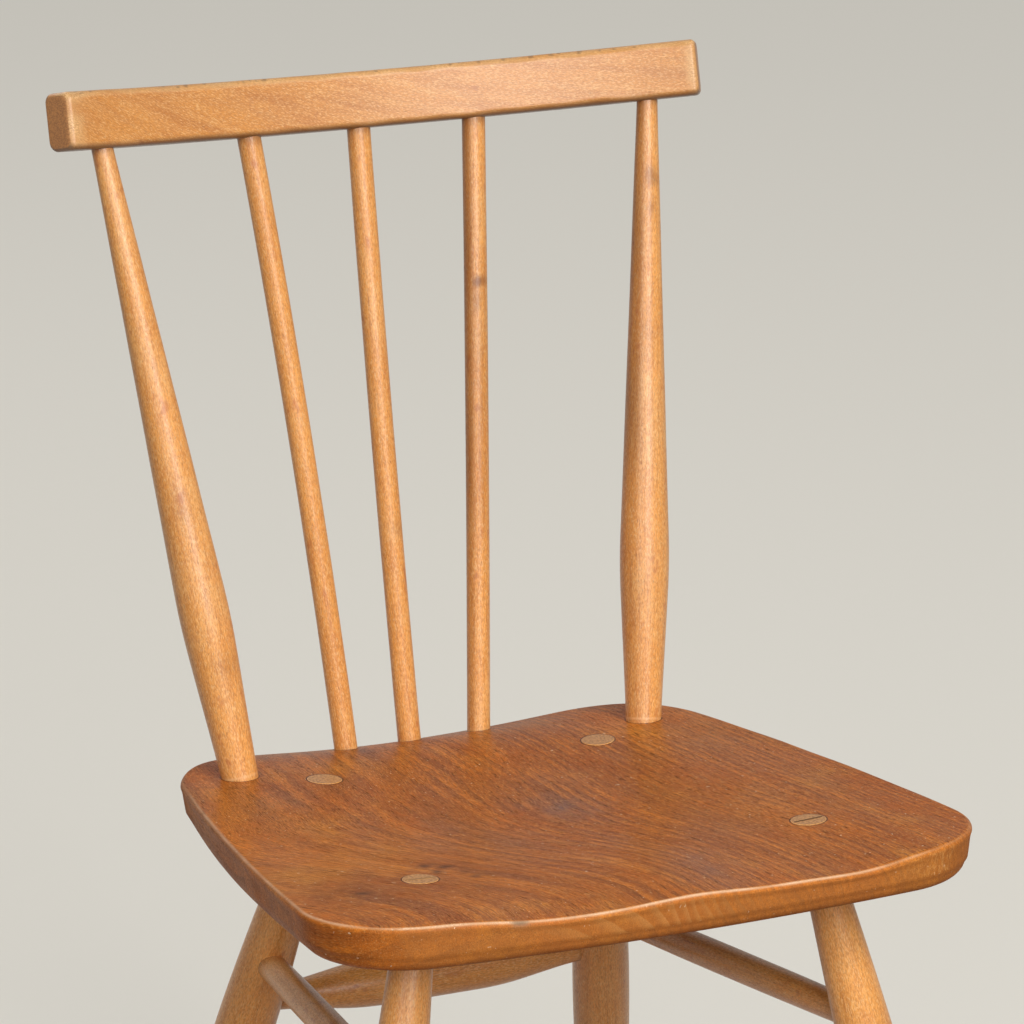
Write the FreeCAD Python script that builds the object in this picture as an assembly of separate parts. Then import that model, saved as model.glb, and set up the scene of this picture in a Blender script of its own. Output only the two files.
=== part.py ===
import FreeCAD, Part
import math
import os

# Windsor dining chair: a dished solid seat, four splayed turned legs wedged through it,
# three stretchers, and a back of two turned posts, three slim spindles and a bent crest rail.
# Everything is in millimetres. Each piece is drawn in the seat's own frame: its top rim is
# the plane z = 0, its centre is the origin, +y points to the back and +x to the right as
# seen from the front. The finished pieces are then tilted and lifted onto the floor.

V = FreeCAD.Vector

# Stance
seat_height = 420.0          # floor to the middle of the seat's rim plane
seat_tilt = 5.0              # degrees, the front edge is the higher one

# Seat plan
seat_depth = 351.0           # between the front and rear corner lines
front_half_width = 184.0     # at the front corner line
rear_half_width = 143.5      # at the rear corner line
front_bow = 14.5             # how far the front edge bows out past its corner line
rear_bow = 13.5
side_bow = 8.5
front_corner_radius = 53.0
rear_corner_radius = 50.0
seat_thickness = 24.0
seat_edge_lean = 0.14        # how far the edge leans in for each unit going down
planing_allowance = 5.0      # extra on the blank, taken off when its top is shaped
seat_top_round = 4.0
seat_bottom_round = 8.0

# Seat hollow
dish_depth = 8.5             # deepest point of the hollow, below the rim
dish_margin = 27.0           # rim left flat at each side of the hollow
dish_deepest_from_front = 200.0
dish_half_length = 150.0
thigh_depth = 4.2            # depth that runs out through the front edge
thigh_margin = 34.0
thigh_length = 170.0         # how far back from the front edge this depth fades out
ridge_height = 2.4           # low ridge between the thighs at the front edge
ridge_half_width = 34.0
rear_fall = 11.5             # how far the top falls away to the middle of the rear edge
rear_fall_margin = 3.5
rear_fall_length = 79.0
hollow_grid = 15.0           # spacing of the points that carry the sculpted surface

# Legs
leg_tenon_radius = 9.2
leg_shoulder_radius = 10.4
leg_shoulder_length = 3.0
leg_belly_radius = 16.2
leg_foot_radius = 10.5
leg_foot_round = 1.5
leg_belly_at = 170.0         # along the leg, from the seat's rim plane
leg_upper_radius = 14.7
leg_upper_at = 115.0
leg_lower_radius = 13.6
leg_lower_at = 300.0
front_leg_side_inset = 76.0  # tenon centre, in from the front corner
front_leg_end_inset = 76.0
front_leg_splay = 0.207      # sideways run for each unit of drop, square to the seat
front_leg_rake = -0.113      # backward run for each unit of drop
rear_leg_side_inset = 63.0
rear_leg_end_inset = 76.0
rear_leg_splay = 0.181
rear_leg_rake = 0.436

# Wedges that spread the front tenons
wedge_top_thickness = 2.2
wedge_tip_thickness = 0.6
wedge_length = 14.0
wedge_slot_gap = 0.05        # room on each side of a wedge

# Stretchers
side_stretcher_rear_drop = 113.0   # below the rim plane, at the rear leg
side_stretcher_front_drop = 108.0  # below the rim plane, at the front leg
side_stretcher_end_radius = 7.6
side_stretcher_middle_radius = 8.4
rear_stretcher_below_side = 26.0   # between the two stretchers' centres on a rear leg
rear_stretcher_end_radius = 6.5
rear_stretcher_belly_radius = 13.5
rear_stretcher_belly_half_length = 42.0
rear_stretcher_corner_blend = 14.0
stretcher_past_axis = 4.0          # how far a tenon runs past the leg's own axis

# Back posts
post_side_inset = 23.5       # socket centre, in from the rear corner
post_end_inset = 51.0
post_base_radius = 9.8
post_belly_radius = 14.0
post_top_radius = 5.7
post_belly_at = 88.0         # above the seat, along the post
post_corner_blend = 16.0
post_socket_depth = 15.0

# Spindles
spindle_radius = 6.5
spindle_base_spacing = 40.0
spindle_top_spacing = 66.5
spindle_end_inset = 12.5     # middle socket centre, in from the rear edge
spindle_socket_depth = 11.0
spindle_bow = [2.1, -0.9, 0.6]   # slight bend of each old spindle, sideways at mid height

# Crest rail
crest_length = 374.0         # straight across its ends
crest_height = 31.0
crest_thickness = 18.0
crest_bend_radius = 393.0
crest_rake = 10.2            # degrees, leaning back from square to the seat
crest_round = 4.0
crest_underside_height = 330.8   # at its middle, square to the seat
crest_setback = 28.5         # its middle line behind the seat's rear edge
crest_end_to_post = 27.0
crest_socket_depth = 19.0

# Fits
glue_gap = 0.1               # radial room in every socket
end_gap = 0.3                # room past the end of every blind tenon

# Places worked out from the sizes above
front_line = -seat_depth / 2.0
rear_line = seat_depth / 2.0
rear_edge = rear_line + rear_bow
front_edge = front_line - front_bow
middle_spindle_y = rear_edge - spindle_end_inset
post_base_x = rear_half_width - post_side_inset
post_base_y = rear_line - post_end_inset
rear_stretcher_drop = side_stretcher_rear_drop + rear_stretcher_below_side


def arc(start, middle, end):
    return Part.Arc(start, middle, end).toShape()


def smooth_step(value):
    value = min(1.0, max(0.0, value))
    return value * value * (3.0 - 2.0 * value)


def half_width_at(y):
    share = (y - front_line) / seat_depth
    return front_half_width + (rear_half_width - front_half_width) * share


def dome(distance, reach, power=2):
    # One at the middle, falling to nothing at the reach and beyond.
    return max(0.0, 1.0 - (abs(distance) / reach) ** power)


def hollow_depth(x, y):
    # A shallow dish, two thigh hollows that run out through the front edge with a low
    # ridge between them, and a fall towards the rear edge, deepest at its middle.
    wide = half_width_at(min(rear_line, max(front_line, y)))
    depth = dish_depth * dome(x, wide - dish_margin) ** 2
    depth *= dome(y - front_edge - dish_deepest_from_front, dish_half_length) ** 2
    thighs = thigh_depth * dome(x, front_half_width - thigh_margin, 4) ** 2
    thighs -= ridge_height * math.exp(-((x / ridge_half_width) ** 2))
    depth += thighs * (1.0 - smooth_step((y - front_edge) / thigh_length))
    behind = max(0.0, 1.0 - (rear_edge - y) / rear_fall_length)
    return depth + rear_fall * dome(x, rear_half_width - rear_fall_margin) * behind ** 2


def spindle_row_y(x):
    # The sockets lie on one arc through the two posts and the middle spindle.
    rise = middle_spindle_y - post_base_y
    radius = (post_base_x ** 2 + rise ** 2) / (2.0 * rise)
    return middle_spindle_y - radius + math.sqrt(radius ** 2 - x ** 2)


def above_seat():
    # Everything over the sculpted top of the seat, as one tool.
    reach_x = front_half_width + side_bow + 2.0 * hollow_grid
    reach_y = rear_edge + 2.0 * hollow_grid
    count_x = int(math.ceil(2.0 * reach_x / hollow_grid)) + 1
    count_y = int(math.ceil(2.0 * reach_y / hollow_grid)) + 1
    rows = []
    for i in range(count_x):
        x = -reach_x + 2.0 * reach_x * i / (count_x - 1)
        row = []
        for j in range(count_y):
            y = -reach_y + 2.0 * reach_y * j / (count_y - 1)
            row.append(V(x, y, -hollow_depth(x, y)))
        rows.append(row)
    surface = Part.BSplineSurface()
    surface.interpolate(rows)
    return surface.toShape().extrude(V(0, 0, 2.0 * seat_thickness))


def leaning_disc(start, middle, end):
    # A wide cone whose wall passes through three points of the rim, one side of the seat.
    # Its seam is turned away from that side.
    circle = Part.Circle(start, middle, end)
    low = circle.Radius - seat_edge_lean * seat_thickness
    high = circle.Radius + seat_edge_lean * planing_allowance
    disc = Part.makeCone(low, high, seat_thickness + planing_allowance)
    away = circle.Center - middle
    turn = FreeCAD.Rotation(V(0, 0, 1), math.degrees(math.atan2(away.y, away.x)))
    disc.Placement = FreeCAD.Placement(circle.Center - V(0, 0, seat_thickness), turn)
    return disc


def seat_board(over):
    # The edge leans in going down, so the underside is smaller than the top.
    front_right = V(front_half_width, front_line, 0)
    front_left = V(-front_half_width, front_line, 0)
    rear_right = V(rear_half_width, rear_line, 0)
    rear_left = V(-rear_half_width, rear_line, 0)
    side = rear_right - front_right
    out = V(side.y, -side.x, 0)
    out.normalize()
    side_middle = (front_right + rear_right) * 0.5 + out * side_bow
    left_middle = V(-side_middle.x, side_middle.y, 0)
    board = leaning_disc(front_left, V(0, front_edge, 0), front_right)
    board = board.common(leaning_disc(front_right, side_middle, rear_right))
    board = board.common(leaning_disc(rear_right, V(0, rear_edge, 0), rear_left))
    board = board.common(leaning_disc(rear_left, left_middle, front_left))
    for radius, behind in ((front_corner_radius, False), (rear_corner_radius, True)):
        corners = [e for e in board.Edges
                   if e.BoundBox.ZLength > seat_thickness and e.Length < 2.0 * seat_thickness
                   and (e.CenterOfMass.y > 0) == behind]
        board = board.makeFillet(radius, corners[:2])
    underside = min(board.Faces, key=lambda face: face.CenterOfMass.z)
    board = board.makeFillet(seat_bottom_round, underside.OuterWire.Edges)
    board = board.cut(over)
    sat_on = max((f for f in board.Faces if f.CenterOfMass.z > -seat_thickness / 2.0),
                 key=lambda face: face.Area)
    return board.makeFillet(seat_top_round, sat_on.OuterWire.Edges)


def soft_corner(before, corner, after, blend):
    # Two straight runs joined by a tangent arc that starts and ends at the blend distance.
    back = before - corner
    ahead = after - corner
    back.normalize()
    ahead.normalize()
    start = corner + back * blend
    end = corner + ahead * blend
    inward = back + ahead
    half_turn = (math.pi - back.getAngle(ahead)) / 2.0
    inward.normalize()
    radius = blend / math.tan(half_turn)
    middle = corner + inward * (radius / math.cos(half_turn) - radius)
    return start, middle, end


def turned(edges, start, end):
    # Revolves an outline drawn with x as radius and z along the piece, then lays the
    # piece along the line from start to end.
    first = edges[0].Vertexes[0].Point
    last = edges[-1].Vertexes[-1].Point
    outline = [Part.LineSegment(V(0, 0, first.z), first).toShape()] if first.x > 0 else []
    outline += edges
    outline.append(Part.LineSegment(last, V(0, 0, last.z)).toShape())
    outline.append(Part.LineSegment(V(0, 0, last.z), V(0, 0, first.z)).toShape())
    body = Part.Face(Part.Wire(outline)).revolve(V(0, 0, 0), V(0, 0, 1), 360)
    body.Placement = FreeCAD.Placement(start, FreeCAD.Rotation(V(0, 0, 1), end - start))
    return body


def line(start, end):
    return Part.LineSegment(start, end).toShape()


def along(start, end, distance):
    direction = end - start
    direction.normalize()
    return start + direction * distance


def leg_top(side, row):
    if row == "front":
        return V(side * (front_half_width - front_leg_side_inset),
                 front_line + front_leg_end_inset, 0)
    return V(side * (rear_half_width - rear_leg_side_inset), rear_line - rear_leg_end_inset, 0)


def leg_point(side, row, drop):
    # A point on a leg's axis, at a drop below the rim plane.
    if row == "front":
        return leg_top(side, row) + V(side * front_leg_splay * drop, front_leg_rake * drop, -drop)
    return leg_top(side, row) + V(side * rear_leg_splay * drop, rear_leg_rake * drop, -drop)


def leg_tenon(side, row, radius, length):
    # The straight part of a leg that passes through the seat, from just over its top.
    top = leg_point(side, row, -seat_thickness)
    return Part.makeCylinder(radius, length, top, leg_point(side, row, 0.0) - top)


def leg_blank(side, row):
    # A whole turned leg, longer than it needs to be at both ends. Its taper runs straight on
    # past the floor, with no corner where the foot is sawn.
    top = leg_top(side, row)
    axis = leg_point(side, row, 1.0) - top
    lean = axis.getAngle(V(0, 0, -1))
    clear = seat_thickness / math.cos(lean) + leg_tenon_radius * math.tan(lean) + end_gap
    over = seat_thickness / math.cos(lean)
    foot = V(leg_foot_radius, 0, foot_distance(side, row))
    curve = Part.BSplineCurve()
    curve.interpolate([
        V(leg_shoulder_radius, 0, clear + leg_shoulder_length),
        V(leg_upper_radius, 0, leg_upper_at),
        V(leg_belly_radius, 0, leg_belly_at),
        V(leg_lower_radius, 0, leg_lower_at),
        foot,
    ])
    taper = curve.tangent(curve.LastParameter)[0]
    edges = [
        line(V(leg_tenon_radius, 0, -over), V(leg_tenon_radius, 0, clear)),
        line(V(leg_tenon_radius, 0, clear), V(leg_shoulder_radius, 0, clear + leg_shoulder_length)),
        curve.toShape(),
        line(foot, foot + taper * leg_foot_radius),
    ]
    return turned(edges, top, top + axis)


def foot_distance(side, row):
    # How far along its own axis a leg meets the floor.
    tilt = math.radians(seat_tilt)
    top = leg_top(side, row)
    axis = leg_point(side, row, 1.0) - top
    height = seat_height - top.y * math.sin(tilt)
    fall = math.cos(tilt) + axis.y * math.sin(tilt)
    return height / fall * axis.Length


def stretcher_ends(side):
    rear = leg_point(side, "rear", side_stretcher_rear_drop)
    front = leg_point(side, "front", side_stretcher_front_drop)
    return rear, front


def side_stretcher(side, room=0.0):
    rear, front = stretcher_ends(side)
    length = (front - rear).Length
    past = stretcher_past_axis + (end_gap if room else 0.0)
    end_radius = side_stretcher_end_radius + room
    belly = side_stretcher_middle_radius + room
    plain = leg_belly_radius
    edges = [
        line(V(end_radius, 0, -past), V(end_radius, 0, plain)),
        arc(V(end_radius, 0, plain), V(belly, 0, length / 2.0), V(end_radius, 0, length - plain)),
        line(V(end_radius, 0, length - plain), V(end_radius, 0, length + past)),
    ]
    return turned(edges, rear, front)


def rear_stretcher(room=0.0):
    left = leg_point(-1, "rear", rear_stretcher_drop)
    right = leg_point(1, "rear", rear_stretcher_drop)
    length = (right - left).Length
    past = stretcher_past_axis + (end_gap if room else 0.0)
    end_radius = rear_stretcher_end_radius + room
    belly = rear_stretcher_belly_radius + room
    near = length / 2.0 - rear_stretcher_belly_half_length
    far = length / 2.0 + rear_stretcher_belly_half_length
    tenon = V(end_radius, 0, leg_belly_radius)
    far_tenon = V(end_radius, 0, length - leg_belly_radius)
    middle = V(belly, 0, length / 2.0)
    a, b, c = soft_corner(tenon, V(belly, 0, near), middle, rear_stretcher_corner_blend)
    d, e, f = soft_corner(middle, V(belly, 0, far), far_tenon, rear_stretcher_corner_blend)
    edges = [
        line(V(end_radius, 0, -past), tenon),
        line(tenon, a),
        arc(a, b, c),
        line(c, d),
        arc(d, e, f),
        line(f, far_tenon),
        line(far_tenon, V(end_radius, 0, length + past)),
    ]
    return turned(edges, left, right)


def crest_frame():
    # Local x runs along the rail, y to its back face and z up its height.
    middle = V(0, rear_edge + crest_setback, crest_underside_height)
    return FreeCAD.Placement(middle, FreeCAD.Rotation(V(1, 0, 0), -crest_rake))


def crest_under(x):
    # A point on the rail's underside, midway through its thickness.
    sweep = math.sqrt(crest_bend_radius ** 2 - x ** 2)
    return crest_frame().multVec(V(x, sweep - crest_bend_radius, 0))


def crest_rail():
    half_angle = math.asin(crest_length / 2.0 / crest_bend_radius)
    inner = crest_bend_radius - crest_thickness / 2.0
    outer = crest_bend_radius + crest_thickness / 2.0

    def spot(radius, angle):
        return V(radius * math.sin(angle), radius * math.cos(angle) - crest_bend_radius, 0)

    plan = Part.Wire([
        arc(spot(inner, -half_angle), spot(inner, 0), spot(inner, half_angle)),
        line(spot(inner, half_angle), spot(outer, half_angle)),
        arc(spot(outer, half_angle), spot(outer, 0), spot(outer, -half_angle)),
        line(spot(outer, -half_angle), spot(inner, -half_angle)),
    ])
    rail = Part.Face(plan).extrude(V(0, 0, crest_height))
    rail = rail.makeFillet(crest_round, rail.Edges)
    rail.Placement = crest_frame()
    return rail


def post_axis(side):
    base = V(side * post_base_x, post_base_y, -hollow_depth(post_base_x, post_base_y))
    return base, crest_under(side * (crest_length / 2.0 - crest_end_to_post))


def back_post(side, room=0.0):
    base, top = post_axis(side)
    length = (top - base).Length
    extra = end_gap if room else 0.0
    foot = V(post_base_radius + room, 0, 0)
    belly = V(post_belly_radius + room, 0, post_belly_at)
    head = V(post_top_radius + room, 0, length)
    a, b, c = soft_corner(foot, belly, head, post_corner_blend)
    edges = [
        line(V(foot.x, 0, -post_socket_depth - extra), foot),
        line(foot, a),
        arc(a, b, c),
        line(c, head),
        line(head, V(head.x, 0, length + crest_socket_depth + extra)),
    ]
    return turned(edges, base, top)


def spindle(index, room=0.0):
    # A round rod on a very flat arc, bowed sideways by its own amount.
    place = index - 1
    x = place * spindle_base_spacing
    y = spindle_row_y(x)
    base = V(x, y, -hollow_depth(x, y))
    top = crest_under(place * spindle_top_spacing)
    extra = end_gap if room else 0.0
    foot = along(base, top, -spindle_socket_depth - extra)
    head = along(top, base, -crest_socket_depth - extra)
    middle = (foot + head) * 0.5 + V(spindle_bow[index], 0, 0)
    path = arc(foot, middle, head)
    start = path.tangentAt(path.FirstParameter)
    section = Part.Wire(Part.makeCircle(spindle_radius + room, foot, start))
    return Part.Wire(path).makePipeShell([section], True, False)


def wedge(side, room=0.0):
    # A thin taper across the tenon, in line with the seat's front edge.
    top = leg_top(side, "front")
    reach = 2.0 * leg_tenon_radius
    half_top = wedge_top_thickness / 2.0 + room
    half_tip = wedge_tip_thickness / 2.0 + room
    over = hollow_depth(top.x, top.y)
    tip = -over - wedge_length - (end_gap if room else 0.0)
    section = Part.makePolygon([
        V(-reach, -half_top, seat_thickness), V(-reach, -half_top, -over),
        V(-reach, -half_tip, tip), V(-reach, half_tip, tip),
        V(-reach, half_top, -over), V(-reach, half_top, seat_thickness),
        V(-reach, -half_top, seat_thickness),
    ])
    blade = Part.Face(section).extrude(V(2.0 * reach, 0, 0))
    blade.Placement = FreeCAD.Placement(
        top, FreeCAD.Rotation(V(0, 0, -1), leg_point(side, "front", 1.0) - top))
    return blade


def build():
    over = above_seat()
    seat = seat_board(over)
    crest = crest_rail()
    pieces = {}
    legs = {}
    bore_length = 4.0 * seat_thickness
    for row in ("front", "rear"):
        for side in (-1, 1):
            seat = seat.cut(leg_tenon(side, row, leg_tenon_radius + glue_gap, bore_length))
            legs[(row, side)] = leg_blank(side, row).cut(over)
    for side, name in ((-1, "left"), (1, "right")):
        socket = back_post(side, glue_gap)
        seat = seat.cut(socket)
        crest = crest.cut(socket)
        pieces[name + "_post"] = back_post(side)
        hole = side_stretcher(side, glue_gap)
        for row in ("front", "rear"):
            legs[(row, side)] = legs[(row, side)].cut(hole)
        pieces[name + "_stretcher"] = side_stretcher(side)
        tenon = leg_tenon(side, "front", leg_tenon_radius, bore_length)
        pieces[name + "_wedge"] = wedge(side).common(tenon).cut(over)
        legs[("front", side)] = legs[("front", side)].cut(wedge(side, wedge_slot_gap))
        legs[("rear", side)] = legs[("rear", side)].cut(rear_stretcher(glue_gap))
    pieces["rear_stretcher"] = rear_stretcher()
    for index, name in enumerate(("left", "middle", "right")):
        socket = spindle(index, glue_gap)
        seat = seat.cut(socket)
        crest = crest.cut(socket)
        pieces[name + "_spindle"] = spindle(index)
    pieces["seat"] = seat
    pieces["crest_rail"] = crest
    for row in ("front", "rear"):
        for side, name in ((-1, "left"), (1, "right")):
            pieces[row + "_" + name + "_leg"] = legs[(row, side)]
    return pieces


def stand(pieces):
    # Tilts and lifts the chair, saws the feet level and centres it over the origin.
    pose = FreeCAD.Placement(V(0, 0, seat_height), FreeCAD.Rotation(V(1, 0, 0), -seat_tilt))
    reach = 2.0 * seat_height
    ground = Part.makeBox(2.0 * reach, 2.0 * reach, reach, V(-reach, -reach, -reach))
    placed = {}
    for name, shape in pieces.items():
        copy = shape.copy()
        copy.Placement = pose.multiply(shape.Placement)
        if name.endswith("_leg"):
            copy = copy.cut(ground)
            sole = [e for e in copy.Edges if e.BoundBox.ZMax < 0.01]
            copy = copy.makeFillet(leg_foot_round, sole)
        placed[name] = copy
    box = FreeCAD.BoundBox()
    for shape in placed.values():
        box.add(shape.optimalBoundingBox(False))
    middle = V(-box.Center.x, -box.Center.y, 0)
    for shape in placed.values():
        shape.translate(middle)
    print("overall %.1f x %.1f x %.1f mm, moved by y %.2f"
          % (box.XLength, box.YLength, box.ZLength, middle.y))
    return placed


os.makedirs("parts", exist_ok=True)
for node, shape in stand(build()).items():
    solids = shape.Solids
    print(node, len(solids), "solid,", round(shape.Volume / 1000.0, 2), "cm3", shape.isValid())
    shape.exportStep("parts/" + node + ".step")
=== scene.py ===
import bpy
import numpy as np
from mathutils import Matrix, Vector


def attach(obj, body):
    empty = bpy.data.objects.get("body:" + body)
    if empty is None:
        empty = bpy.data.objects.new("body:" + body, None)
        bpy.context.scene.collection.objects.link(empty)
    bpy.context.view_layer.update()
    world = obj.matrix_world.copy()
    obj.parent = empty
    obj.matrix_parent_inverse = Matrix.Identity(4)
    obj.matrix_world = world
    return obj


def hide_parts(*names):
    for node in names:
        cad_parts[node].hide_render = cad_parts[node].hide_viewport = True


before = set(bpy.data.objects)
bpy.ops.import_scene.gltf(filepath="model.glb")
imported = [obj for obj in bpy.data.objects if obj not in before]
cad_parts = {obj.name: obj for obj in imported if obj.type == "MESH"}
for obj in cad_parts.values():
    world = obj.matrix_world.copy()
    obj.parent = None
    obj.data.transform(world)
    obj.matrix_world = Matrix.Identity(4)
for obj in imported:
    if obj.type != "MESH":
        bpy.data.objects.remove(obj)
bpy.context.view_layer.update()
print("frame loaded,", len(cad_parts), "nodes")

# The chair is worked out in millimetres in the seat's own frame: its rim is the plane z = 0,
# its centre is the origin, +y points to the back and +x to the right as seen from the front.
stance = {"height": 420.0, "tilt": 5.0, "forward": 32.55}


def toRoom(points):
    # Tips the seat frame back by the tilt, lifts it to the seat's height, and gives metres.
    tilt = np.radians(stance["tilt"])
    x, y, z = np.moveaxis(np.asarray(points, float), -1, 0)
    back = y * np.cos(tilt) + z * np.sin(tilt) - stance["forward"]
    up = z * np.cos(tilt) - y * np.sin(tilt) + stance["height"]
    return np.stack([x, back, up], -1) / 1000.0


def toLinear(hexColour):
    # sRGB hex to linear red, green, blue and full alpha.
    parts = [int(hexColour[i:i + 2], 16) / 255.0 for i in (1, 3, 5)]
    return [c / 12.92 if c <= 0.04045 else ((c + 0.055) / 1.055) ** 2.4 for c in parts] + [1.0]


def unit(vector):
    # The vector over its own length.
    vector = np.asarray(vector, float)
    return vector / np.linalg.norm(vector)


def smoothStep(value):
    # Eases from 0 to 1: three times the square less twice the cube.
    value = np.clip(value, 0.0, 1.0)
    return value * value * (3.0 - 2.0 * value)


def ripple(points, size, seed):
    # A smooth wandering value from -1 to 1: three sine waves in chance directions.
    chance = np.random.default_rng(seed)
    total = 0.0
    for _ in range(3):
        direction = unit(chance.normal(size=3)) * 2.0 * np.pi / (size * chance.uniform(0.7, 1.4))
        total = total + np.sin(points @ direction + chance.uniform(0.0, 2.0 * np.pi))
    return total / 3.0


def addObject(name, data):
    added = bpy.data.objects.new(name, data)
    bpy.context.scene.collection.objects.link(added)
    return added


# Meshes

def skinPiece(name, rings, grain, material, node, marks):
    # A closed skin: every row of the grid is a ring, and the first and last rows are each
    # drawn in to one pole. Grain is the same grid in the wood's own frame, in millimetres.
    # Marks tell the material where the piece is worn or dirty and where shade and highlights
    # are painted on it, point by point or row by row.
    count, around = rings.shape[:2]

    def flatten(grid):
        # The rows between the poles one after another, then the two poles.
        rows = grid[1:-1].reshape(-1, *grid.shape[2:])
        return np.concatenate([rows, grid[0, :1], grid[-1, :1]])

    row = np.arange(count - 3)[:, None] * around
    here = np.arange(around)
    there = (here + 1) % around
    quads = np.stack([row + here, row + there, row + around + there, row + around + here], -1)
    pole, lastRow = (count - 2) * around, (count - 3) * around
    low = np.stack([np.full(around, pole), there, here], -1)
    high = np.stack([np.full(around, pole + 1), lastRow + here, lastRow + there], -1)
    mesh = bpy.data.meshes.new(name)
    mesh.from_pydata(toRoom(flatten(rings)).tolist(), [],
                     quads.reshape(-1, 4).tolist() + low.tolist() + high.tolist())
    mesh.polygons.foreach_set("use_smooth", np.ones(len(mesh.polygons), bool))
    field = mesh.attributes.new("grain", "FLOAT_VECTOR", "POINT")
    field.data.foreach_set("vector", (flatten(grain) / 1000.0).astype(np.float32).ravel())
    for mark, values in marks.items():
        values = flatten(np.broadcast_to(np.clip(values, 0.0, 1.0), (count, around)))
        field = mesh.attributes.new(mark, "FLOAT", "POINT")
        field.data.foreach_set("value", values.astype(np.float32))
    mesh.materials.append(material)
    piece = addObject(name, mesh)
    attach(piece, "root")
    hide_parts(node)


# Materials

def addNode(tree, kind, settings=None, links=None):
    # One shader node, with its properties and input values set and its inputs linked. A link
    # comes from a socket or from the first output of a node, and one from None is left out.
    node = tree.nodes.new("ShaderNode" + kind)
    for key, value in (settings or {}).items():
        if isinstance(key, str) and hasattr(node, key):
            setattr(node, key, value)
        else:
            node.inputs[key].default_value = value
    for key, source in (links or {}).items():
        if source is not None:
            tree.links.new(getattr(source, "outputs", [source])[0], node.inputs[key])
    return node


def clearTree(owner):
    # The node tree of a new material or world, with nothing in it.
    owner.use_nodes = True
    owner.node_tree.nodes.clear()
    return owner.node_tree


def addRow(tree, source, steps):
    # Nodes in a row, each with the last one's output on its first input. A step is the kind
    # of node, its settings and the output that goes on.
    for kind, settings, output in steps:
        source = addNode(tree, kind, settings, {0: source}).outputs[output]
    return source


def grainNoise(tree, place, size, detail, low, high):
    # Noise stretched to its size in millimetres along the wood's own x, y and z, and its
    # middle values, from low to high, spread out to run from 0 to 1.
    return addRow(tree, place, (
        ("Mapping", {"Scale": [1000.0 / mm for mm in size]}, 0),
        ("TexNoise", {"Scale": 1.0, "Detail": detail, "Roughness": 0.6}, 0),
        ("MapRange", {"interpolation_type": "SMOOTHSTEP", "From Min": low, "From Max": high}, 0)))


def paintLayers(tree, fields, look):
    # Lays colours over the base. A layer is a colour, its strength, and the names of the
    # fields whose product says where it goes.
    colour = None
    for hexColour, strength, where in look["layers"]:
        first, *others = where.split()
        amount = addNode(tree, "Math", {"operation": "MULTIPLY", 1: strength}, {0: fields[first]})
        for name in others:
            amount = addNode(tree, "Math", {"operation": "MULTIPLY"},
                             {0: amount, 1: fields[name]})
        settings = {"data_type": "RGBA", 7: toLinear(hexColour)}
        if colour is None:
            settings[6] = toLinear(look["base"])
        colour = addNode(tree, "Mix", settings, {0: amount, 6: colour}).outputs[2]
    return colour


def weighFields(tree, fields, weights, base):
    # The base value plus each field times its weight.
    total = None
    for name, weight in weights.items():
        total = addNode(tree, "Math", {"operation": "MULTIPLY_ADD", 1: weight, 2: base},
                        {0: fields[name], 2: total})
    return total


def woodMaterial(name, look, joints=()):
    # Colour, roughness and relief from the fields that the look names: noises, the growth
    # rings, the dark lines at the joints, and the marks on the mesh. Relief is in millimetres,
    # and a thin coat lies over the wood.
    material = bpy.data.materials.new(name)
    tree = clearTree(material)
    place = addNode(tree, "Attribute", {"attribute_name": "grain"}).outputs["Vector"]
    named = {field for layer in look["layers"] for field in layer[2].split()}
    fields = {}
    for field in sorted(named.union(look["gloss"], look["relief"])):
        if field in look["noises"]:
            fields[field] = grainNoise(tree, place, *look["noises"][field])
        elif field == "ring":
            fields[field] = growthRings(tree, place, look)
        elif field == "joint":
            fields[field] = nearJoints(tree, joints)
        else:
            mark = addNode(tree, "Attribute", {"attribute_name": field})
            fields[field] = mark.outputs["Fac"]
    relief = weighFields(tree, fields, look["relief"], 0.0)
    bump = addNode(tree, "Bump", {"Strength": 1.0, "Distance": 0.001}, {"Height": relief})
    shader = addNode(tree, "BsdfPrincipled",
                     {"IOR": 1.5, "Specular IOR Level": look["specular"],
                      "Coat Weight": look["coat"], "Coat Roughness": look["coatRough"],
                      "Coat IOR": 1.5},
                     {"Base Color": paintLayers(tree, fields, look),
                      "Roughness": weighFields(tree, fields, look["gloss"], look["glossBase"]),
                      "Normal": bump, "Coat Normal": bump})
    addNode(tree, "OutputMaterial", {}, {"Surface": shader})
    return material


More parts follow.
